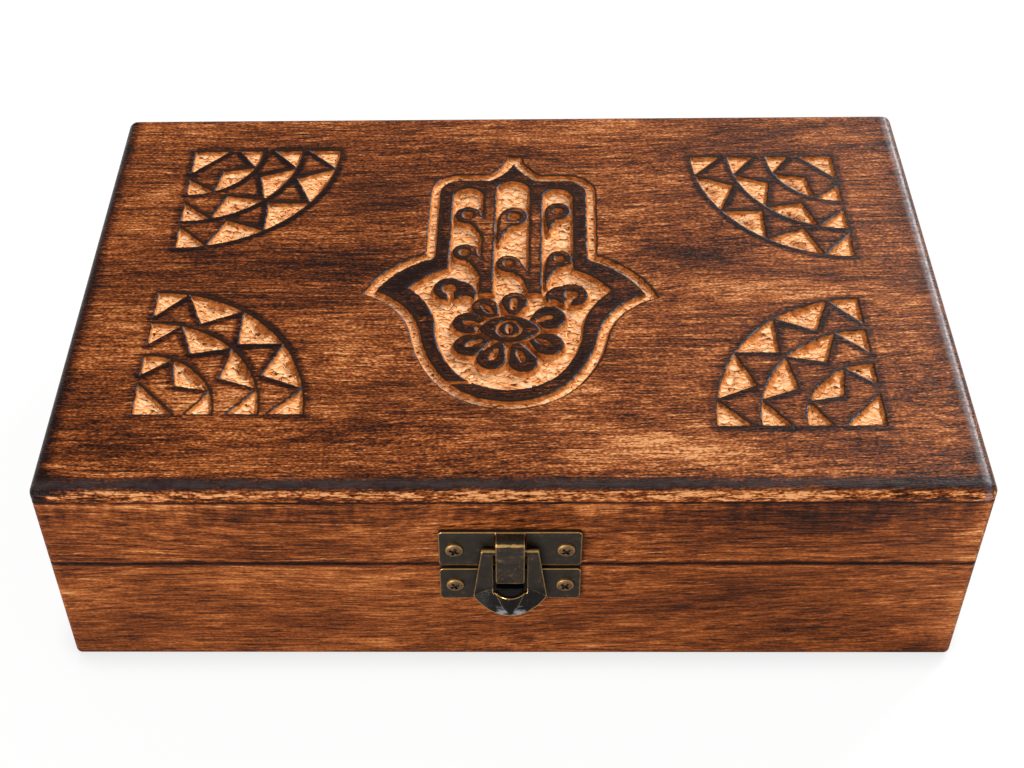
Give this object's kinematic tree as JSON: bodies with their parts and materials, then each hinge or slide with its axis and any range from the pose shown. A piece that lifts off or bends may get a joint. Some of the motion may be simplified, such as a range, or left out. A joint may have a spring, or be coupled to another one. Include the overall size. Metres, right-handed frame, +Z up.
{
  "type": "rosary box",
  "caption": "Low hinged wooden keepsake box with a carved lid board and a pressed brass lever latch, for a rosary, papers or small keepsakes.",
  "frame": {"origin": "centre of the wooden case's underside, on the surface it stands on", "axes": "+X along the length, +Y from the latch at the front to the hinges at the back, +Z up"},
  "size_m": [0.2286, 0.162, 0.0635],
  "materials": {
    "carved_board": "hand-carved hardwood, scorched and waxed, pale in the cuts",
    "case_wood": "open-grained hardwood, darkened and waxed",
    "latch_brass": "antiqued dark, worn bright on the edges",
    "hinge_brass": "antiqued, satin"
  },
  "bodies": {
    "base": {"base_front_wall": "case_wood", "base_back_wall": "case_wood", "base_left_wall": "case_wood", "base_right_wall": "case_wood", "base_bottom_panel": "case_wood", "latch_catch_plate": "latch_brass", "latch_catch_screws": "latch_brass", "hinge_left_base_leaf": "hinge_brass", "hinge_right_base_leaf": "hinge_brass", "hinge_left_pin": "hinge_brass", "hinge_right_pin": "hinge_brass", "hinge_base_screws": "hinge_brass"},
    "lid": {"lid_front_wall": "case_wood", "lid_back_wall": "case_wood", "lid_left_wall": "case_wood", "lid_right_wall": "case_wood", "lid_top_board": "carved_board", "latch_hasp_plate": "latch_brass", "latch_hasp_screws": "latch_brass", "hinge_left_lid_leaf": "hinge_brass", "hinge_right_lid_leaf": "hinge_brass", "hinge_lid_screws": "hinge_brass"},
    "lever": {"latch_lever": "latch_brass"}
  },
  "joints": [
    {"name": "lid_hinge", "type": "hinge", "parent": "base", "child": "lid", "pos_m": [0, 0.0777, 0.037], "axis": [-1, 0, 0], "range_deg": [0, 180]},
    {"name": "latch_lever_hinge", "type": "hinge", "parent": "lid", "child": "lever", "pos_m": [0, -0.0786, 0.04455], "axis": [-1, 0, 0], "range_deg": [0, 120]}
  ]
}
